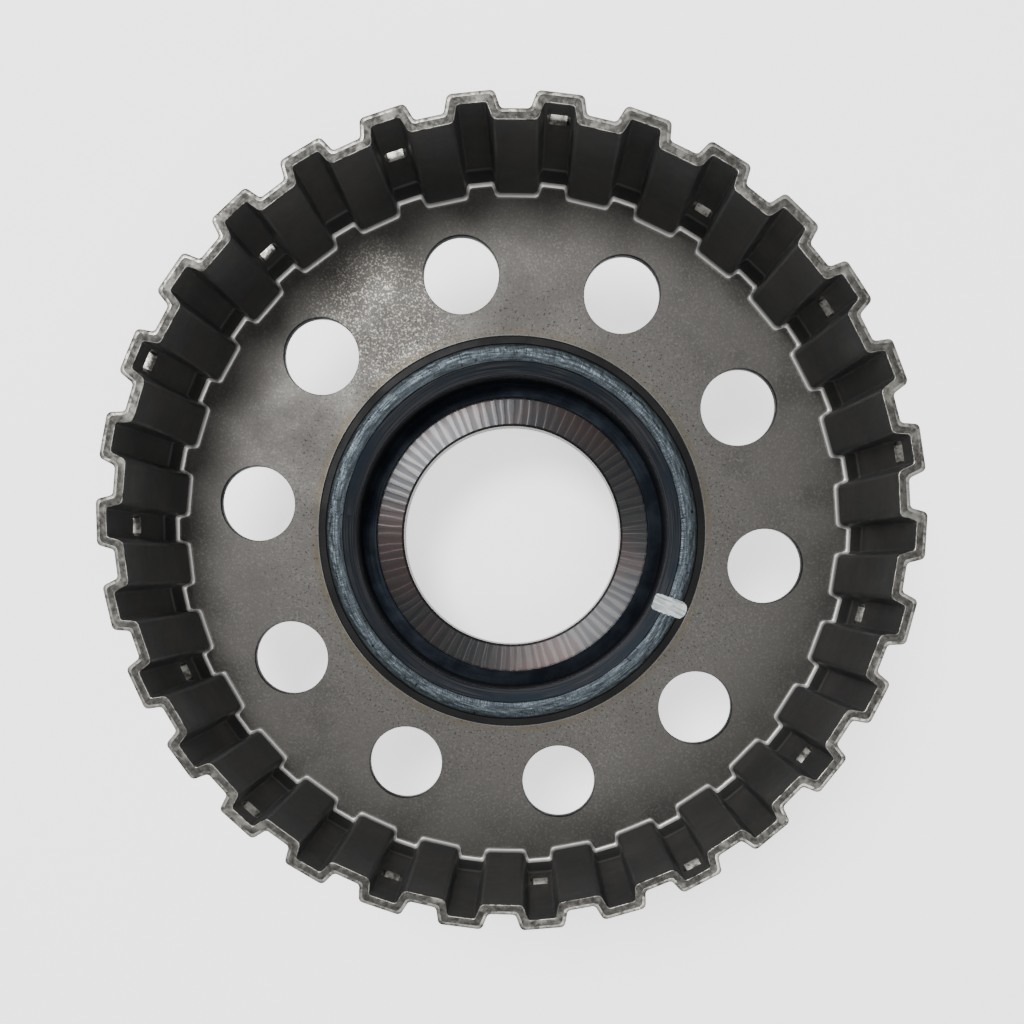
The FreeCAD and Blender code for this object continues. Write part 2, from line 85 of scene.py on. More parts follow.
# ---- small node-graph vocabulary ----------------------------------------------------------------
class Graph:
    """A material's node graph, with one short method for each kind of node."""

    def __init__(self, name):
        self.material = bpy.data.materials.new(name)
        self.material.use_nodes = True
        self.nodes = self.material.node_tree.nodes
        self.links = self.material.node_tree.links
        self.shader = self.nodes["Principled BSDF"]
        self.place = self.nodes.new("ShaderNodeTexCoord").outputs["Object"]
        split = self.nodes.new("ShaderNodeSeparateXYZ")
        self.links.new(self.place, split.inputs[0])
        self.x, self.y, self.z = split.outputs

    def put(self, value, socket):
        if isinstance(value, bpy.types.NodeSocket):
            self.links.new(value, socket)
        else:
            socket.default_value = value

    def math(self, operation, a, b=0.0):
        node = self.nodes.new("ShaderNodeMath")
        node.operation = operation
        self.put(a, node.inputs[0])
        self.put(b, node.inputs[1])
        return node.outputs[0]

    def radius(self):
        x_squared = self.math("MULTIPLY", self.x, self.x)
        y_squared = self.math("MULTIPLY", self.y, self.y)
        return self.math("SQRT", self.math("ADD", x_squared, y_squared))

    def angle(self):
        return self.math("ARCTAN2", self.y, self.x)

    def step(self, value, low, high, clamped_low=0.0, clamped_high=1.0):
        node = self.nodes.new("ShaderNodeMapRange")
        node.interpolation_type = "SMOOTHSTEP"
        self.put(value, node.inputs["Value"])
        self.put(low, node.inputs["From Min"])
        self.put(high, node.inputs["From Max"])
        self.put(clamped_low, node.inputs["To Min"])
        self.put(clamped_high, node.inputs["To Max"])
        return node.outputs["Result"]

    def band(self, value, low, high, soft):
        rise = self.step(value, low - soft, low + soft)
        fall = self.step(value, high - soft, high + soft, 1.0, 0.0)
        return self.math("MULTIPLY", rise, fall)

    def noise(self, scale, detail=4.0, roughness=0.55, where=None):
        node = self.nodes.new("ShaderNodeTexNoise")
        self.links.new(where or self.place, node.inputs["Vector"])
        node.inputs["Scale"].default_value = scale
        node.inputs["Detail"].default_value = detail
        node.inputs["Roughness"].default_value = roughness
        return node.outputs["Fac"]

    def polar_noise(self, around, across, up=0.0, detail=3.0):
        """Noise stretched round the axis: around, across and up are its frequencies in those directions."""
        join = self.nodes.new("ShaderNodeCombineXYZ")
        self.put(self.math("MULTIPLY", self.angle(), around), join.inputs[0])
        self.put(self.math("MULTIPLY", self.radius(), across), join.inputs[1])
        self.put(self.math("MULTIPLY", self.z, up), join.inputs[2])
        return self.noise(1.0, detail, 0.6, join.outputs[0])

    def mix(self, factor, a, b):
        node = self.nodes.new("ShaderNodeMix")
        node.data_type = "RGBA"
        self.put(factor, node.inputs[0])
        for value, socket in ((a, node.inputs[6]), (b, node.inputs[7])):
            self.put(value if isinstance(value, bpy.types.NodeSocket) else (*value, 1.0), socket)
        return node.outputs[2]

    def mix_number(self, factor, a, b):
        node = self.nodes.new("ShaderNodeMix")
        for value, socket in zip((factor, a, b), (node.inputs[0], node.inputs[2], node.inputs[3])):
            self.put(value, socket)
        return node.outputs[0]

    def bump(self, height, distance, strength=1.0, before=None):
        node = self.nodes.new("ShaderNodeBump")
        self.put(height, node.inputs["Height"])
        node.inputs["Distance"].default_value = distance
        node.inputs["Strength"].default_value = strength
        if before:
            self.links.new(before, node.inputs["Normal"])
        return node.outputs["Normal"]

    def finish(self, colour, roughness, normal=None, metallic=1.0, anisotropy=0.0, turn=0.0):
        self.put(colour, self.shader.inputs["Base Color"])
        self.put(roughness, self.shader.inputs["Roughness"])
        self.put(metallic, self.shader.inputs["Metallic"])
        if normal:
            self.links.new(normal, self.shader.inputs["Normal"])
        if anisotropy:
            tangent = self.nodes.new("ShaderNodeTangent")
            tangent.direction_type = "RADIAL"
            tangent.axis = "Z"
            self.links.new(tangent.outputs[0], self.shader.inputs["Tangent"])
            self.shader.inputs["Anisotropic"].default_value = anisotropy
            self.shader.inputs["Anisotropic Rotation"].default_value = turn
        return self.material


# ---- materials ----------------------------------------------------------------------------------
def painted_glints(g):
    """Share of bright grains, painted glints that thin out round one place on the web."""
    across = g.math("SUBTRACT", g.x, GLINT_PATCH_PLACE[0] * MM)
    along = g.math("SUBTRACT", g.y, GLINT_PATCH_PLACE[1] * MM)
    square = g.math("ADD", g.math("MULTIPLY", across, across), g.math("MULTIPLY", along, along))
    glint_patch = g.step(g.math("SQRT", square), 8 * MM, 21 * MM, 1.0, 0.0)
    return g.math("MULTIPLY", g.step(g.noise(2100, 4, 0.7), 0.53, 0.61), glint_patch)


def web_colour(g, mottle):
    """Grey-brown web, pitted near the hub, with painted glints in one place, a heat ring, a black groove and
    a painted highlight on the groove's lip.
    """
    r = g.radius()
    colour = g.mix(g.step(mottle, 0.35, 0.68), (0.043, 0.041, 0.038), (0.062, 0.059, 0.055))
    specks = g.step(g.noise(1900, 3), 0.48, 0.70)
    colour = g.mix(g.math("MULTIPLY", specks, 0.30), colour, (0.110, 0.106, 0.098))
    scratches = g.step(g.polar_noise(240, 160, 0, 1), 0.66, 0.70)
    colour = g.mix(g.math("MULTIPLY", scratches, 0.25), colour, (0.040, 0.038, 0.036))
    pits = g.step(g.noise(1700, 2), 0.33, 0.40, 1.0, 0.0)
    near_hub = g.step(r, 46 * MM, 64 * MM, 0.9, 0.15)
    colour = g.mix(g.math("MULTIPLY", pits, near_hub), colour, (0.018, 0.016, 0.015))
    # painted glints: bright grains in one patch of the web, standing in for light glinting there
    colour = g.mix(g.math("MULTIPLY", painted_glints(g), 0.7), colour, (0.30, 0.285, 0.25))
    heated = g.band(r, (GROOVE_R - 0.1) * MM, (GROOVE_R + 1.3) * MM, 1.1 * MM)
    tint = g.math("MULTIPLY", heated, g.step(g.polar_noise(4, 260), 0.2, 0.8))
    colour = g.mix(g.math("MULTIPLY", tint, 0.8), colour, (0.050, 0.039, 0.020))
    groove = g.step(r, (GROOVE_R - 0.1) * MM, GROOVE_R * MM, 1.0, 0.0)
    colour = g.mix(groove, colour, (0.005, 0.005, 0.005))
    # painted highlight: a bright line along the groove's lip
    groove_lip_highlight = g.band(r, (GROOVE_R - 0.03) * MM, (GROOVE_R + 0.16) * MM, 0.05 * MM)
    return g.mix(groove_lip_highlight, colour, (0.15, 0.155, 0.16))


def wall_colour(g):
    """Charcoal inside of the wall, with painted shade under each channel's step, a painted highlight on the
    step, and a painted highlight on the bend where it meets the web.
    """
    colour = g.mix(g.step(g.noise(60, 5), 0.3, 0.75), (0.078, 0.078, 0.079), (0.098, 0.097, 0.095))
    streak = g.step(g.polar_noise(70, 0, 18), 0.45, 0.75)
    colour = g.mix(g.math("MULTIPLY", streak, 0.25), colour, (0.105, 0.102, 0.100))
    in_channel = g.step(g.radius(), 75.3 * MM, 76.2 * MM)
    step_z = WEB_Z + CHANNEL_STEP * MM
    # painted shade below each channel's step
    step_shade = g.math("MULTIPLY", g.step(g.z, step_z - 0.8 * MM, step_z - 0.1 * MM, 1.0, 0.0), in_channel)
    colour = g.mix(g.math("MULTIPLY", step_shade, 0.6), colour, (0.024, 0.024, 0.025))
    # painted highlight along the top of each channel's step
    step_highlight = g.math("MULTIPLY", g.band(g.z, step_z - 0.05 * MM, step_z + 0.5 * MM, 0.12 * MM), in_channel)
    colour = g.mix(g.math("MULTIPLY", step_highlight, 0.7), colour, (0.24, 0.235, 0.23))
    # painted highlight on the bend between wall and web, stronger in the channels
    bend_highlight = g.math("MULTIPLY", g.band(g.z, WEB_Z + 0.08 * MM, WEB_Z + 0.9 * MM, 0.06 * MM),
                       g.math("ADD", 0.5, g.math("MULTIPLY", in_channel, 0.5)))
    return g.mix(g.math("MULTIPLY", bend_highlight, 0.9), colour, (0.72, 0.71, 0.69))


def drum_steel():
    """Formed sheet: web, inside of the wall, and the walls of the web's pierced holes, darkened with painted
    shade.
    """
    g = Graph("drum_steel")
    mottle = g.noise(90, 6)
    on_wall = g.step(g.z, WEB_Z + 0.02 * MM, WEB_Z + 0.12 * MM)
    colour = g.mix(on_wall, web_colour(g, mottle), wall_colour(g))
    # painted shade: the walls of the web's holes made dark navy
    in_sheet = g.band(g.z, WEB_BOTTOM_Z + 0.2 * MM, WEB_Z - 0.15 * MM, 0.08 * MM)
    near_holes = g.band(g.radius(), 48 * MM, 70 * MM, 1 * MM)      # a ring a little wider than the holes
    colour = g.mix(g.math("MULTIPLY", in_sheet, near_holes), colour, (0.006, 0.009, 0.013))
    rough = g.step(mottle, 0.3, 0.7, 0.42, 0.60)
    grain = g.bump(g.noise(2200, 2), 0.00003, 0.5)
    return g.finish(colour, rough, g.bump(mottle, 0.00012, 0.35, grain), 0.9)


def outer_steel():
    """Outside of the wall: charcoal sheet, streaked along its height and grazed on the teeth."""
    g = Graph("outer_steel")
    mottle = g.noise(70, 6)
    colour = g.mix(g.step(mottle, 0.32, 0.70), (0.060, 0.060, 0.061), (0.086, 0.085, 0.083))
    streak = g.step(g.polar_noise(150, 0, 9), 0.46, 0.74)
    colour = g.mix(g.math("MULTIPLY", streak, 0.35), colour, (0.125, 0.122, 0.118))
    on_tooth = g.step(g.radius(), 79.0 * MM, 79.9 * MM, 0.08, 0.35)
    grazed = g.math("MULTIPLY", g.step(g.polar_noise(420, 0, 60), 0.45, 0.75), on_tooth)
    colour = g.mix(grazed, colour, (0.16, 0.155, 0.148))
    normal = g.bump(mottle, 0.00012, 0.35, g.bump(g.noise(2200, 2), 0.00003, 0.5))
    return g.finish(colour, g.step(mottle, 0.3, 0.7, 0.40, 0.56), normal, 0.9)


def bare_steel():
    """Corners of the sheet's sheared edges, bright and mottled."""
    g = Graph("bare_steel")
    patches = g.noise(480, 5, 0.7)
    colour = g.mix(g.step(patches, 0.38, 0.58), (0.055, 0.052, 0.047), (0.27, 0.265, 0.245))
    return g.finish(colour, g.step(patches, 0.3, 0.7, 0.48, 0.30), g.bump(patches, 0.0001, 0.5), 0.95)


def torn_steel():
    """Middle of a sheared edge, grey and grainy between its bright corners."""
    g = Graph("torn_steel")
    grains = g.noise(900, 5, 0.7)
    patches = g.noise(210, 4, 0.6)
    colour = g.mix(g.step(grains, 0.34, 0.66), (0.024, 0.023, 0.021), (0.058, 0.056, 0.051))
    colour = g.mix(g.math("MULTIPLY", g.step(patches, 0.52, 0.66), 0.7), colour, (0.15, 0.145, 0.13))
    return g.finish(colour, g.step(grains, 0.3, 0.7, 0.60, 0.44), g.bump(grains, 0.00015, 0.6), 0.9)


def weld_steel():
    """Blue-grey fused bead, streaked round the axis, with dark pits."""
    g = Graph("weld_steel")
    streaks = g.polar_noise(7, 2100)
    colour = g.mix(g.step(streaks, 0.34, 0.68), (0.013, 0.017, 0.020), (0.044, 0.056, 0.064))
    grooves = g.step(g.polar_noise(5, 3600, 0, 1), 0.60, 0.68)
    colour = g.mix(g.math("MULTIPLY", grooves, 0.8), colour, (0.008, 0.009, 0.011))
    pits = g.step(g.polar_noise(30, 620, 0, 2), 0.31, 0.35, 1.0, 0.0)
    colour = g.mix(pits, colour, (0.003, 0.003, 0.004))
    inner_half = g.step(g.radius(), (BEAD_IN + 1.1) * MM, (BEAD_IN + 2.5) * MM, 0.45, 0.0)
    colour = g.mix(inner_half, colour, (0.010, 0.013, 0.016))
    flank = g.step(g.radius(), (BEAD_OUT - 0.6) * MM, (BEAD_OUT - 0.2) * MM)
    colour = g.mix(flank, colour, (0.010, 0.011, 0.013))
    ripple = g.bump(g.polar_noise(60, 420), 0.0002, 0.6)
    return g.finish(colour, g.step(streaks, 0.3, 0.7, 0.5, 0.34), ripple, 0.85)


def hub_steel():
    """Turned ring, nearly black, with blue heat stains on the cone inside the weld."""
    g = Graph("hub_steel")
    lines = g.polar_noise(2, 4200, 4200)
    colour = g.mix(g.step(lines, 0.35, 0.65), (0.014, 0.016, 0.020), (0.044, 0.046, 0.051))
    blue = g.band(g.radius(), 37.0 * MM, 40.0 * MM, 0.7 * MM)
    stain = g.math("MULTIPLY", blue, g.step(g.polar_noise(3, 90), 0.35, 0.65))
    colour = g.mix(stain, colour, (0.018, 0.024, 0.032))
    return g.finish(colour, g.step(lines, 0.3, 0.7, 0.46, 0.58), g.bump(lines, 0.00002, 0.5), 0.95, 0.3)


CHATTER_WAVES = 88              # shallow waves that the cutter left round the ground face


def gear_steel(name, light, face_z=None):
    """Hardened gear steel. face_z is the height of a ground face that shows radial chatter, its rays
    lightened with a painted sheen.
    """
    g = Graph(name)
    dark = tuple(c * 0.72 for c in light)
    tool_lines = g.polar_noise(3, 1800, 1800)
    base = g.math("ADD", g.math("MULTIPLY", g.noise(60, 5), 0.5), g.math("MULTIPLY", tool_lines, 0.5))
    colour = g.mix(g.step(base, 0.35, 0.68), dark, light)
    rough = g.step(base, 0.3, 0.7, 0.26, 0.40)
    rings = g.bump(g.polar_noise(1, 5200, 5200), 0.000012, 0.5)
    anisotropy, turn = 0.2, 0.0
    if face_z:
        anisotropy, turn = 0.9, 0.25
        wander = g.math("MULTIPLY", g.polar_noise(9, 60, 0, 2), 7.0)
        waves = g.math("SINE", g.math("ADD", g.math("MULTIPLY", g.angle(), CHATTER_WAVES), wander))
        ray = g.step(waves, -0.7, 0.9)
        on_face = g.band(g.z, face_z - 0.6 * MM, face_z + 0.3 * MM, 0.1 * MM)
        stained = g.mix(g.step(g.noise(38, 3), 0.42, 0.60), (0.030, 0.031, 0.033), (0.047, 0.036, 0.036))
        # painted sheen: the chatter rays lightened in colour all round; the chatter itself is in the bump
        rays_with_sheen = g.mix(g.math("MULTIPLY", ray, 0.4), stained, (0.070, 0.068, 0.066))
        colour = g.mix(on_face, colour, rays_with_sheen)
        rough = g.mix_number(on_face, rough, g.step(ray, 0.0, 1.0, 0.34, 0.27))
        rings = g.bump(g.math("MULTIPLY", ray, on_face), 0.000022, 0.5, rings)
    return g.finish(colour, rough, rings, 1.0, anisotropy, turn)


def plain_metal(name, dark, light, rough, lines_across, lines_up):
    """Machined metal with tool lines round the axis and a slow variation in colour."""
    g = Graph(name)
    colour = g.mix(g.step(g.noise(180, 5), 0.34, 0.68), dark, light)
    lines = g.polar_noise(2, lines_across, lines_up)
    shine = g.step(lines, 0.3, 0.7, rough, rough + 0.14)
    return g.finish(colour, shine, g.bump(lines, 0.00002, 0.5), 1.0, 0.3)


def paint():
    """Brushed white marking paint, worn through in places."""
    g = Graph("paint_mark")
    strokes = g.polar_noise(90, 150)
    colour = g.mix(g.step(strokes, 0.32, 0.66), (0.15, 0.18, 0.19), (0.46, 0.49, 0.48))
    worn_through = g.step(g.polar_noise(45, 500, 0, 2), 0.34, 0.44, 0.6, 0.0)
    colour = g.mix(worn_through, colour, (0.10, 0.125, 0.135))
    return g.finish(colour, 0.55, g.bump(strokes, 0.00012, 0.7), 0.0)


def paper():
    """Pale studio floor."""
    g = Graph("studio_paper")
    colour = g.mix(g.noise(6, 2), (0.90, 0.90, 0.90), (0.93, 0.93, 0.93))
    glow = 1.2              # keeps the paper pale in the set's shadow
    g.shader.inputs["Emission Color"].default_value = (1.0, 1.0, 1.0, 1.0)
    g.shader.inputs["Emission Strength"].default_value = glow
    return g.finish(colour, 0.8, None, 0.0)


# ---- pieces -------------------------------------------------------------------------------------
def new_object(name, vertices, faces, material):
    mesh = bpy.data.meshes.new(name)
    mesh.from_pydata(vertices, [], faces)
    mesh.update()
    for polygon in mesh.polygons:
        polygon.use_smooth = True
    piece = bpy.data.objects.new(name, mesh)
    bpy.context.scene.collection.objects.link(piece)
    mesh.materials.append(material)
    return piece


# ---- drum ---------------------------------------------------------------------------------------
def crossing(n1, d1, n2, d2):
    """Crossing of the lines n.p = d, for unit normals given as angles."""
    det = math.cos(n1) * math.sin(n2) - math.sin(n1) * math.cos(n2)
    return ((d1 * math.sin(n2) - d2 * math.sin(n1)) / det, (d2 * math.cos(n1) - d1 * math.cos(n2)) / det)


def rounded(before, corner, after, radius, count=6):
    """Points of the arc that rounds a corner."""
    p = Vector(corner)
    u = (Vector(before) - p).normalized()
    v = (Vector(after) - p).normalized()
    half = u.angle(v) / 2
    centre = p + (u + v).normalized() * radius / math.sin(half)
    start = p + u * radius / math.tan(half) - centre
    end = p + v * radius / math.tan(half) - centre
    turn = start.angle_signed(end)
    return [centre + Matrix.Rotation(-turn * i / (count - 1), 2) @ start for i in range(count)]


def half_tooth(inset, tip_inset, radii):
    """From the middle of a tooth to the middle of the next valley, the tooth's axis along X."""
    tip_x = TIP_R - inset - tip_inset
    flank = TIP_R * math.cos(FLANK_NORMAL) + TIP_HALF * math.sin(FLANK_NORMAL) - inset
    valley = ROOT_R - inset
    tip = crossing(0, tip_x, FLANK_NORMAL, flank)
    root = crossing(PITCH / 2, valley, FLANK_NORMAL, flank)
    middle = (valley * math.cos(PITCH / 2), valley * math.sin(PITCH / 2))
    tip_arc = rounded((tip_x, 0), tip, root, radii[0])
    root_arc = rounded(tip, root, middle, radii[1])
    flat = tip_arc[0][1]
    edge = min(WINDOW_HALF_WIDTH, 0.98 * flat)     # a window's side stays on the tooth's flat
    points = [(tip_x, 0), (tip_x, edge * (1 - WINDOW_CORNER / WINDOW_HALF_WIDTH)), (tip_x, edge)]
    points += [tuple(q) for q in tip_arc]
    points.append(tuple((tip_arc[-1] + root_arc[0]) / 2))
    points += [tuple(q) for q in root_arc]
    points.append(tuple((root_arc[-1] + Vector(middle)) / 2))
    points.append(middle)
    return points


def toothed_row(inset, height, radii=OUTER_RADII, tip_inset=0.0):
    """One closed row of points, tooth by tooth, each from valley middle to valley middle."""
    half = half_tooth(inset, tip_inset, radii)
    tooth = [(x, -y) for x, y in reversed(half[1:])] + half[:-1]
    row = []
    for k in range(TEETH):
        c, s = math.cos(PITCH * (k + 0.5)), math.sin(PITCH * (k + 0.5))
        row += [(x * c - y * s, x * s + y * c, height) for x, y in tooth]
    return row


def round_row(radius, height, count):
    """One closed round row of points."""
    step = 2 * math.pi / count
    return [(radius * math.cos(step * i), radius * math.sin(step * i), height) for i in range(count)]


class Shell:
    """Collects faces by their corner places, in millimetres, and shares corners that coincide."""

    def __init__(self):
        self.vertices = []
        self.index = {}
        self.faces = []
        self.finishes = {}

    def vertex(self, place):
        key = tuple(round(c, 4) for c in place)
        if key not in self.index:
            self.index[key] = len(self.vertices)
            self.vertices.append((place[0] * MM, place[1] * MM, WEB_Z + place[2] * MM))
        return self.index[key]

    def face(self, *places, finish=0):
        corners = []
        for place in places:
            corner = self.vertex(place)
            if corner not in corners:
                corners.append(corner)
        if len(corners) > 2:
            self.finishes[len(self.faces)] = finish
            self.faces.append(corners)

    def strip(self, low, high, finish=0, skip=None):
        """Quads between two rows. skip may replace the quad between two columns, and then returns True."""
        count = len(low)
        for i in range(count):
            j = (i + 1) % count
            if not (skip and skip(i, j)):
                self.face(low[i], low[j], high[j], high[i], finish=finish)


def window_teeth():
    """Tooth number to the station of its window: every second tooth, three stations in turn."""
    last = TEETH - 1
    return {last - 2 * i: WINDOW_STATIONS[i % len(WINDOW_STATIONS)] for i in range(TEETH // 2)}


def window_rows():
    """Heights of the rows that the windows' edges need."""
    tall, short = WINDOW_HALF_HEIGHT, WINDOW_HALF_HEIGHT - WINDOW_CORNER
    return [station + offset for station in WINDOW_STATIONS for offset in (-tall, -short, short, tall)]


def wall_skin(shell, rows, flip, finish):
    """A skin of the wall with its windows left open. Rows run upwards, and flip turns the faces inwards."""
    per_tooth = len(rows[0]) // TEETH
    middle = per_tooth // 2
    windows = window_teeth()
    for low, high in zip(rows, rows[1:]):
        def skip(i, j, low=low, high=high):
            tooth, column = divmod(i, per_tooth)
            if tooth not in windows or not middle - 2 <= column < middle + 2:
                return False
            offset = (low[i][2] + high[i][2]) / 2 - windows[tooth]
            if abs(offset) > WINDOW_HALF_HEIGHT:
                return False
            straight = abs(offset) < WINDOW_HALF_HEIGHT - WINDOW_CORNER
            if not straight and column in (middle - 2, middle + 1):
                corners = {(i, 0): low[i], (j, 0): low[j], (j, 1): high[j], (i, 1): high[i]}
                inner = (j if column == middle - 2 else i, 1 if offset < 0 else 0)
                kept = [place for key, place in corners.items() if key != inner]
                shell.face(*(reversed(kept) if flip else kept), finish=finish)
            return True

        if flip:
            shell.strip(high, low, finish, skip)
        else:
            shell.strip(low, high, finish, skip)


def window_loop(inset, radii, tooth, station):
    """Corners of one window on the skin with that inset."""
    per_tooth = len(toothed_row(inset, station, radii)) // TEETH
    middle = tooth * per_tooth + per_tooth // 2
    tall, short = WINDOW_HALF_HEIGHT, WINDOW_HALF_HEIGHT - WINDOW_CORNER
    walk = ((-1, -tall), (0, -tall), (1, -tall), (2, -short), (2, short), (1, tall), (0, tall), (-1, tall),
            (-2, short), (-2, -short))
    return [toothed_row(inset, station + height, radii)[middle + column] for column, height in walk]


def web_patch(shell, outer, inner, height, up, sector):
    """One face of the web between two rows of a sector, with its hole. Returns the hole's edge."""
    side_points, rings = 7, 4
    per_sector = len(outer) // WEB_HOLES
    first = sector * per_sector - per_sector // 2
    count = len(outer)
    arc_out = [outer[(first + i) % count] for i in range(per_sector + 1)]
    arc_in = [inner[(first + i) % count] for i in range(per_sector + 1)]

    def side(a, b):
        return [tuple(Vector(a).lerp(Vector(b), (i + 1) / (side_points + 1))) for i in range(side_points)]

    loop = arc_out + side(arc_out[-1], arc_in[-1]) + arc_in[::-1] + side(arc_in[0], arc_out[0])
    turn = 2 * math.pi * sector / WEB_HOLES
    cx, cy = WEB_HOLE_CIRCLE * math.cos(turn), WEB_HOLE_CIRCLE * math.sin(turn)

    def circle(radius, level):
        places = []
        for x, y, _ in loop:
            a = math.atan2(y - cy, x - cx)
            places.append((cx + radius * math.cos(a), cy + radius * math.sin(a), level))
        return places

    edge = circle(WEB_HOLE_R + WEB_HOLE_BEVEL, height)
    rows = []
    for k in range(rings + 1):
        rows.append([tuple(Vector(a).lerp(Vector(b), k / rings)) for a, b in zip(loop, edge)])
    rows.append(circle(WEB_HOLE_R, height + (-WEB_HOLE_BEVEL if up else WEB_HOLE_BEVEL)))
    for a, b in zip(rows, rows[1:]):
        if up:
            shell.strip(b, a)
        else:
            shell.strip(a, b)
    return rows[-1]


def bend(radius, start_inset):
    """(inset, height) pairs of a quarter bend between web and wall."""
    steps = 5
    pairs = []
    for k in range(steps + 1):
        t = math.pi / 2 * k / steps
        pairs.append((start_inset + radius * (1 - math.sin(t)), radius * (1 - math.cos(t))))
    return pairs


FORMED, CORNERS, TORN, OUTSIDE = range(4)      # the drum's finishes, in the order of its materials


def drum_rim(shell, outer, inner):
    """Sheared edge between the two skins' top rows: bright corners, torn middle."""
    def row(inset, height):
        return toothed_row(inset, height, (1.1 - 0.2 * inset, 0.9 + 0.1 * inset))

    rows = [outer, row(0.1, DEPTH - 0.1)]
    rows += [worn(row(inset, DEPTH), RIM_WEAR) for inset in (RIM_EDGE, 0.75, 1.4, WALL - 0.2)]
    rows.append(inner)
    torn_strips = (3, 4)
    for k, (a, b) in enumerate(zip(rows, rows[1:])):
        shell.strip(a, b, finish=TORN if k in torn_strips else CORNERS)


def drum_wall(shell):
    """Both skins of the wall, its rim and its windows. Returns the lowest row of the inner and outer skin."""
    foot_taper, step_inset, step_height, rim_drop = 0.7, 0.25, 0.3, 0.15
    heights = window_rows()
    outer_rows = [toothed_row(inset, height - WALL) for inset, height in bend(OUTER_BEND, 0.0)]
    outer_rows += [toothed_row(0, height) for height in heights]
    outer_rows.append(toothed_row(0, DEPTH - RIM_EDGE))
    inner_rows = [toothed_row(*place, INNER_RADII, foot_taper) for place in bend(INNER_BEND, WALL)]
    inner_rows.append(toothed_row(WALL, CHANNEL_STEP, INNER_RADII, step_inset))
    for height in (CHANNEL_STEP + step_height, *heights, DEPTH - rim_drop):
        inner_rows.append(toothed_row(WALL, height, INNER_RADII))
    wall_skin(shell, outer_rows, False, OUTSIDE)
    wall_skin(shell, inner_rows, True, FORMED)
    drum_rim(shell, outer_rows[-1], inner_rows[-1])
    for tooth, station in window_teeth().items():
        outside = window_loop(0, OUTER_RADII, tooth, station)
        shell.strip(outside, window_loop(WALL, INNER_RADII, tooth, station), finish=CORNERS)
    return inner_rows[0], outer_rows[0]


def drum_web(shell, top_foot, bottom_foot):
    """Both faces of the web with its holes, the machined groove, and the edge under the weld."""
    hole_ring_out, hole_ring_in, lip, corner = 69.0, 47.2, 0.12, 0.1
    columns = len(top_foot)
    top_out = round_row(hole_ring_out, 0, columns)
    top_in = round_row(hole_ring_in, 0, columns)
    bottom_out = round_row(hole_ring_out, -WALL, columns)
    bottom_in = round_row(hole_ring_in, -WALL, columns)
    shell.strip(top_out, top_foot)
    shell.strip(bottom_foot, bottom_out)
    for sector in range(WEB_HOLES):
        top_edge = web_patch(shell, top_out, top_in, 0.0, True, sector)
        bottom_edge = web_patch(shell, bottom_out, bottom_in, -WALL, False, sector)
        shell.strip(bottom_edge, top_edge)
    groove = ((GROOVE_R + lip, 0.0), (GROOVE_R, -lip), (GROOVE_R, -GROOVE_DEPTH + corner),
              (GROOVE_R - corner, -GROOVE_DEPTH), (JOINT_R, -GROOVE_DEPTH), (JOINT_R, -WALL))
    rows = [top_in, *[round_row(radius, height, columns) for radius, height in groove], bottom_in]
    for a, b in zip(rows, rows[1:]):
        shell.strip(b, a)


def drum_piece(*finishes):
    shell = Shell()
    drum_web(shell, *drum_wall(shell))
    piece = new_object("drum", shell.vertices, shell.faces, finishes[FORMED])
    for finish in finishes[1:]:
        piece.data.materials.append(finish)
    for polygon in piece.data.polygons:
        polygon.material_index = shell.finishes[polygon.index]
    settle(piece)
    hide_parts("drum_shell")
    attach(piece, "drum")


def worn(row, depth):
    """The row pressed down a little, unevenly, as a sheared edge is."""
    return [(x, y, z - depth * (0.5 + 0.5 * noise.noise(Vector((x, y, z)) * 0.9))) for x, y, z in row]


LEVEL = 0.99999                 # upright part of a face's normal from which it counts as level


def settle(piece):
    """Faces made to point outwards, and shading that keeps flat faces flat."""
    work = bmesh.new()
    work.from_mesh(piece.data)
    bmesh.ops.recalc_face_normals(work, faces=work.faces)
    work.to_mesh(piece.data)
    work.free()
    for polygon in piece.data.polygons:
        polygon.use_smooth = abs(polygon.normal.z) < LEVEL
    piece.modifiers.new("flat_faces", "WEIGHTED_NORMAL").keep_sharp = True


# ---- weld and paint -----------------------------------------------------------------------------
def hub_height(radius):
    """Height of the surface round the weld, from the web's inner face, in millimetres."""
    if radius < BEAD_IN:
        rise = -GROOVE_DEPTH - CONE_FOOT
        return CONE_FOOT + rise * (radius - RECESS_R) / (BEAD_IN - RECESS_R)
    if radius < BEAD_OUT:
        across = 2 * (radius - BEAD_IN) / (BEAD_OUT - BEAD_IN) - 1
        return -GROOVE_DEPTH + BEAD_CROWN * (1 - across * across)
    return -GROOVE_DEPTH if radius < GROOVE_R else 0.0


def weld_piece(material):
    """The bead, uneven round its crown, on a closed foot below the web's inner face."""
    shell = Shell()
    columns, across, foot = 900, 18, -2.0
    waver, unevenness = 0.10, 0.09
    rows = []
    for k in range(across + 1):
        base = BEAD_IN + (BEAD_OUT - BEAD_IN) * k / across
        edge = math.sin(math.pi * k / across)
        row = []
        for i in range(columns):
            a = 2 * math.pi * i / columns
            radius = base + waver * noise.noise(Vector((9 * math.cos(a), 9 * math.sin(a), k * 0.15)))
            swell = noise.noise(Vector((30 * math.cos(a), 30 * math.sin(a), k * 0.5)))
            height = hub_height(base) + edge * unevenness * swell
            row.append((radius * math.cos(a), radius * math.sin(a), height))
        rows.append(row)
    for radius in (JOINT_R + 1.0, JOINT_R, JOINT_R - 1.2):
        rows.append(round_row(radius, foot, columns))
    rows.append(rows[0])
    for a, b in zip(rows, rows[1:]):
        shell.strip(a, b)
    piece = new_object("weld", shell.vertices, shell.faces, material)
    settle(piece)
    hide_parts("weld_bead")
    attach(piece, "drum")


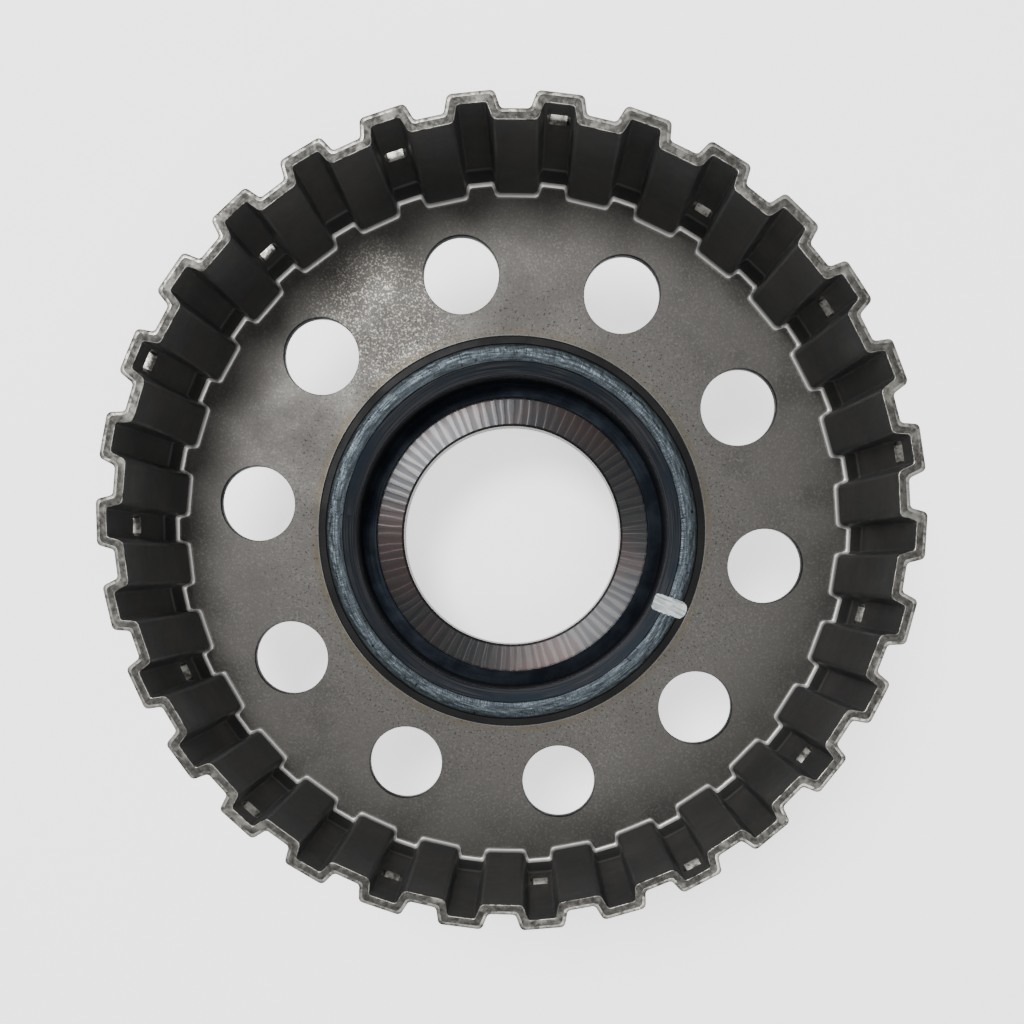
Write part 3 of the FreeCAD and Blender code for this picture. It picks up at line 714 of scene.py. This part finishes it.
def paint_piece(material):
    """One brush stroke across the weld, draped over its surface."""
    shell = Shell()
    inner = Vector((36.3, 0.0))
    length, half_width, lean = 7.9, 2.0, math.radians(5)
    place = math.radians(-17.6)
    along, across = 46, 20
    clearance, thickness, raggedness = 0.10, 0.07, 0.16
    rows = []
    for i in range(along + 1):
        s = i / along
        end = 1 - max(0.0, (s - 0.78) / 0.22) ** 2.2               # the brush lifts off over the last fifth
        start = 1 - max(0.0, (0.10 - s) / 0.10) ** 2 * 0.35        # and sets down over the first tenth
        row = []
        for j in range(across + 1):
            t = 2 * j / across - 1
            ragged = raggedness * noise.noise(Vector((s * 14, t * 2, 3.0)))
            local = Vector((length * s, t * half_width * (math.sqrt(max(end, 0.0)) * start + ragged * end)))
            spot = inner + Matrix.Rotation(lean, 2) @ local
            radius = spot.length
            a = place + math.atan2(spot.y, spot.x)
            rim = min(1.0, 5 * (1 - abs(t)), 6 * s + 0.2, 6 * (1 - s) + 0.1)
            brushed = 0.5 + 0.5 * noise.noise(Vector((s * 3, t * 16, 1.0)))
            lift = clearance + thickness * rim * brushed
            row.append((radius * math.cos(a), radius * math.sin(a), hub_height(radius) + lift))
        rows.append(row)
    for a, b in zip(rows, rows[1:]):
        for j in range(across):
            shell.face(a[j], b[j], b[j + 1], a[j + 1])
    piece = new_object("paint_mark", shell.vertices, shell.faces, material)
    piece.modifiers.new("thickness", "SOLIDIFY").thickness = 0.12 * MM
    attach(piece, "drum")


def studio():
    """Glowing paper floor, even sky, a key lamp high over one side and a weaker one over the other."""
    floor_half, sky = 1.5, 0.85
    corners = [(-floor_half, -floor_half, 0), (floor_half, -floor_half, 0),
               (floor_half, floor_half, 0), (-floor_half, floor_half, 0)]
    new_object("floor", corners, [(0, 1, 2, 3)], paper())
    world = bpy.data.worlds.new("studio")
    bpy.context.scene.world = world
    world.use_nodes = True
    background = world.node_tree.nodes["Background"]
    background.inputs[0].default_value = (1.0, 1.0, 1.0, 1.0)
    background.inputs[1].default_value = sky
    aim = Vector((0, 0, 0.05))
    for name, place, size, power in (("key", (-0.18, 0.185, 0.75), 0.24, 7.0),
                                     ("fill", (0.17, -0.17, 0.75), 0.34, 2.2)):
        light = bpy.data.lights.new(name, "AREA")
        light.shape = "DISK"
        light.size = size
        light.energy = power
        lamp = bpy.data.objects.new(name, light)
        lamp.location = place
        lamp.rotation_euler = (aim - Vector(place)).to_track_quat("-Z", "Y").to_euler()
        bpy.context.scene.collection.objects.link(lamp)


def camera():
    """Almost straight down into the open drum, turned a little so that no web hole is level."""
    data = bpy.data.cameras.new("camera")
    data.sensor_width = 36.0
    data.lens = 35.16
    data.shift_x = 0.0061
    data.shift_y = 0.159
    data.clip_start = 0.01
    eye = bpy.data.objects.new("camera", data)
    tilt = Vector((0.11, 0.0133, 0.1228))
    turn = Matrix.Rotation(tilt.length, 3, tilt.normalized())
    rows = turn @ Matrix(((1, 0, 0), (0, -1, 0), (0, 0, -1)))
    offset = Vector((1.2190684, -32.1389838, 229.41204)) * MM      # of the web's middle, seen from the eye
    place = -(rows.transposed() @ offset) + Vector((0, 0, WEB_Z))
    axes = Matrix((rows[0], -rows[1], -rows[2])).transposed().to_4x4()
    eye.matrix_world = Matrix.Translation(place) @ axes
    bpy.context.scene.collection.objects.link(eye)
    bpy.context.scene.camera = eye


def named(*parts):
    """CAD nodes whose name holds one of the parts."""
    return [name for name in NODES if any(part in name for part in parts)]


def dress(material, *names):
    for name in names:
        mesh = NODES[name].data
        mesh.materials.clear()
        mesh.materials.append(material)


def dress_all():
    drum_piece(drum_steel(), bare_steel(), torn_steel(), outer_steel())
    weld_piece(weld_steel())
    paint_piece(paint())
    dress(hub_steel(), "hub_ring")
    dress(gear_steel("sun_steel", (0.20, 0.195, 0.19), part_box("sun_gear")[1].z), "sun_gear")
    gears = gear_steel("gear_steel", (0.19, 0.185, 0.178))
    dress(gears, *named("ring_gear", "planet_pinion"))
    dress(plain_metal("carrier_steel", (0.13, 0.125, 0.12), (0.26, 0.25, 0.24), 0.32, 2600, 2600),
          "carrier_front_plate", "carrier_rear_plate", "ring_flange")
    dress(plain_metal("bronze", (0.36, 0.22, 0.10), (0.62, 0.43, 0.22), 0.28, 3600, 3600),
          *named("thrust_washer", "pinion_washer", "ring_flange_bushing"))
    dress(plain_metal("bearing_steel", (0.42, 0.42, 0.43), (0.62, 0.62, 0.63), 0.14, 3000, 900),
          *named("needle_rollers", "pinion_pin"))
    dress(plain_metal("spring_steel", (0.004, 0.005, 0.007), (0.008, 0.010, 0.013), 0.44, 3000, 3000),
          *named("retaining_ring"))


studio()
camera()
dress_all()
